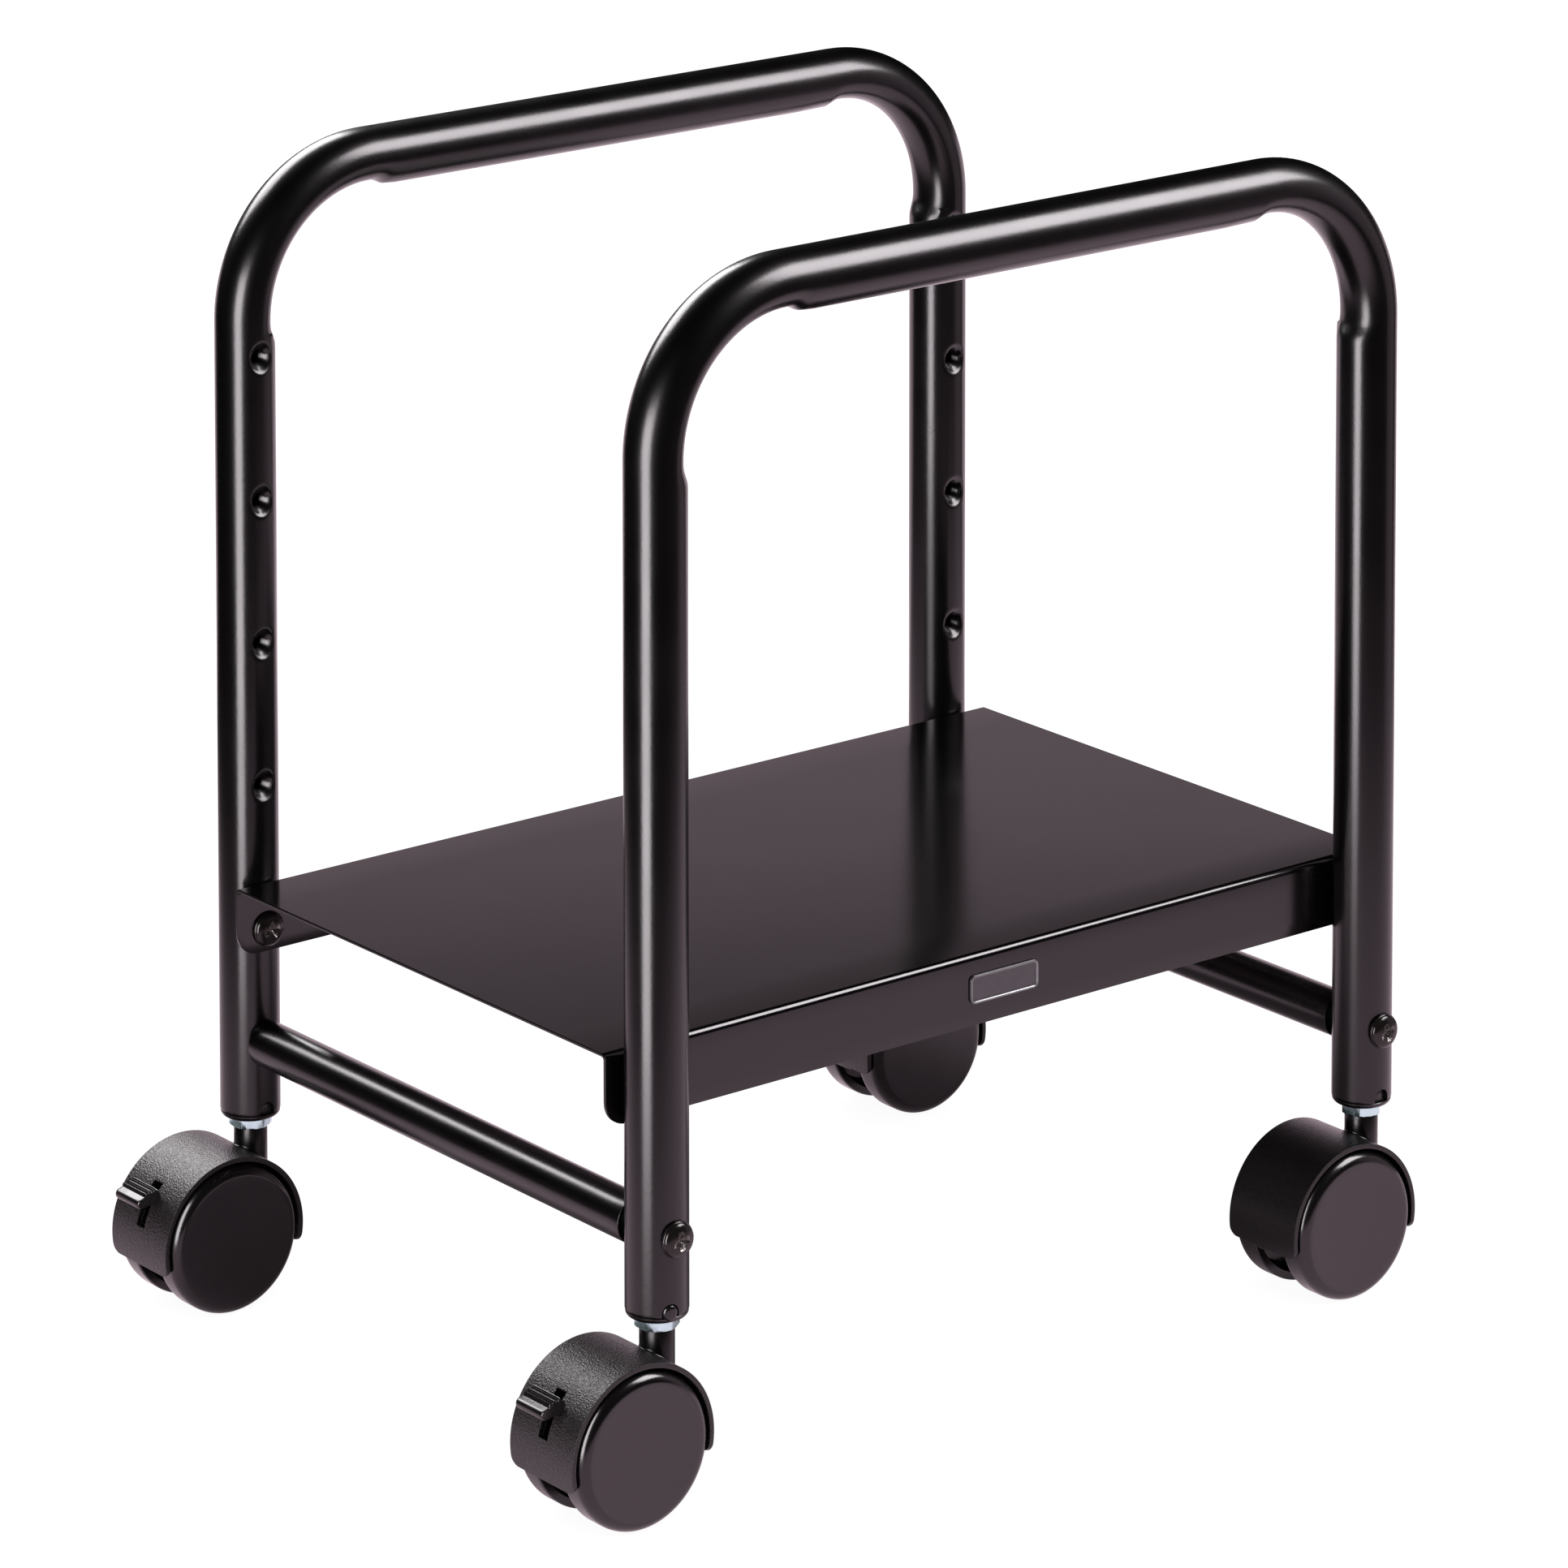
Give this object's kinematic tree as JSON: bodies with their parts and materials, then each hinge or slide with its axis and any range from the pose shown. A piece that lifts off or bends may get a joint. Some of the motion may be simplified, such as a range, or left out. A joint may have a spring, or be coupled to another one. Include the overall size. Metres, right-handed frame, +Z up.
{
  "type": "computer stand",
  "caption": "Low rolling stand that holds a desktop computer upright between two tubular hoops on a folded sheet shelf, with height levels, twin-wheel casters and brakes.",
  "frame": {"origin": "centre of the top face of the shelf sheet", "axes": "+X along the hoops away from the braked casters, +Y from the front hoop (the one with the nameplate side) to the rear hoop, +Z up"},
  "size_m": [0.402, 0.2882, 0.4329],
  "materials": {
    "coat": "semi-gloss powder coat",
    "black_screw": "gloss black",
    "zinc": "bright zinc",
    "black_plastic": "fine grain",
    "wheel_plastic": "satin",
    "plate": "dark satin"
  },
  "bodies": {
    "frame": {"front_hoop": "coat", "rear_hoop": "coat", "left_crossbar": "coat", "right_crossbar": "coat", "crossbar_inserts": "zinc", "crossbar_screws": "black_screw", "shelf": "coat", "shelf_screws": "black_screw", "nameplate": "plate", "front_left_plug": "black_plastic", "front_right_plug": "black_plastic", "rear_left_plug": "black_plastic", "rear_right_plug": "black_plastic", "front_left_stem": "zinc", "front_right_stem": "zinc", "rear_left_stem": "zinc", "rear_right_stem": "zinc"},
    "front_left_swivel": {"front_left_hood": "black_plastic", "front_left_axle": "zinc", "front_left_pin": "zinc"},
    "front_left_wheel_a_body": {"front_left_wheel_a": "wheel_plastic"},
    "front_left_wheel_b_body": {"front_left_wheel_b": "wheel_plastic"},
    "front_left_brake_body": {"front_left_brake": "black_plastic"},
    "front_right_swivel": {"front_right_hood": "black_plastic", "front_right_axle": "zinc"},
    "front_right_wheel_a_body": {"front_right_wheel_a": "wheel_plastic"},
    "front_right_wheel_b_body": {"front_right_wheel_b": "wheel_plastic"},
    "rear_left_swivel": {"rear_left_hood": "black_plastic", "rear_left_axle": "zinc", "rear_left_pin": "zinc"},
    "rear_left_wheel_a_body": {"rear_left_wheel_a": "wheel_plastic"},
    "rear_left_wheel_b_body": {"rear_left_wheel_b": "wheel_plastic"},
    "rear_left_brake_body": {"rear_left_brake": "black_plastic"},
    "rear_right_swivel": {"rear_right_hood": "black_plastic", "rear_right_axle": "zinc"},
    "rear_right_wheel_a_body": {"rear_right_wheel_a": "wheel_plastic"},
    "rear_right_wheel_b_body": {"rear_right_wheel_b": "wheel_plastic"}
  },
  "joints": [
    {"name": "front_left_swivel_turn", "type": "hinge", "parent": "frame", "child": "front_left_swivel", "pos_m": [-0.1665, -0.1245, -0.1037], "axis": [0, 0, 1], "continuous": true},
    {"name": "front_left_wheel_a_spin", "type": "hinge", "parent": "front_left_swivel", "child": "front_left_wheel_a_body", "pos_m": [-0.186, -0.137, -0.1305], "axis": [0, 1, 0], "continuous": true},
    {"name": "front_left_wheel_b_spin", "type": "hinge", "parent": "front_left_swivel", "child": "front_left_wheel_b_body", "pos_m": [-0.186, -0.112, -0.1305], "axis": [0, 1, 0], "continuous": true},
    {"name": "front_left_brake_tilt", "type": "hinge", "parent": "front_left_swivel", "child": "front_left_brake_body", "pos_m": [-0.195, -0.1245, -0.1245], "axis": [0, -1, 0], "range_deg": [0, 25]},
    {"name": "front_right_swivel_turn", "type": "hinge", "parent": "frame", "child": "front_right_swivel", "pos_m": [0.1665, -0.1245, -0.1037], "axis": [0, 0, 1], "continuous": true},
    {"name": "front_right_wheel_a_spin", "type": "hinge", "parent": "front_right_swivel", "child": "front_right_wheel_a_body", "pos_m": [0.147, -0.137, -0.1305], "axis": [0, 1, 0], "continuous": true},
    {"name": "front_right_wheel_b_spin", "type": "hinge", "parent": "front_right_swivel", "child": "front_right_wheel_b_body", "pos_m": [0.147, -0.112, -0.1305], "axis": [0, 1, 0], "continuous": true},
    {"name": "rear_left_swivel_turn", "type": "hinge", "parent": "frame", "child": "rear_left_swivel", "pos_m": [-0.1665, 0.1245, -0.1037], "axis": [0, 0, 1], "continuous": true},
    {"name": "rear_left_wheel_a_spin", "type": "hinge", "parent": "rear_left_swivel", "child": "rear_left_wheel_a_body", "pos_m": [-0.186, 0.112, -0.1305], "axis": [0, 1, 0], "continuous": true},
    {"name": "rear_left_wheel_b_spin", "type": "hinge", "parent": "rear_left_swivel", "child": "rear_left_wheel_b_body", "pos_m": [-0.186, 0.137, -0.1305], "axis": [0, 1, 0], "continuous": true},
    {"name": "rear_left_brake_tilt", "type": "hinge", "parent": "rear_left_swivel", "child": "rear_left_brake_body", "pos_m": [-0.195, 0.1245, -0.1245], "axis": [0, -1, 0], "range_deg": [0, 25]},
    {"name": "rear_right_swivel_turn", "type": "hinge", "parent": "frame", "child": "rear_right_swivel", "pos_m": [0.1665, 0.1245, -0.1037], "axis": [0, 0, 1], "continuous": true},
    {"name": "rear_right_wheel_a_spin", "type": "hinge", "parent": "rear_right_swivel", "child": "rear_right_wheel_a_body", "pos_m": [0.147, 0.112, -0.1305], "axis": [0, 1, 0], "continuous": true},
    {"name": "rear_right_wheel_b_spin", "type": "hinge", "parent": "rear_right_swivel", "child": "rear_right_wheel_b_body", "pos_m": [0.147, 0.137, -0.1305], "axis": [0, 1, 0], "continuous": true}
  ]
}
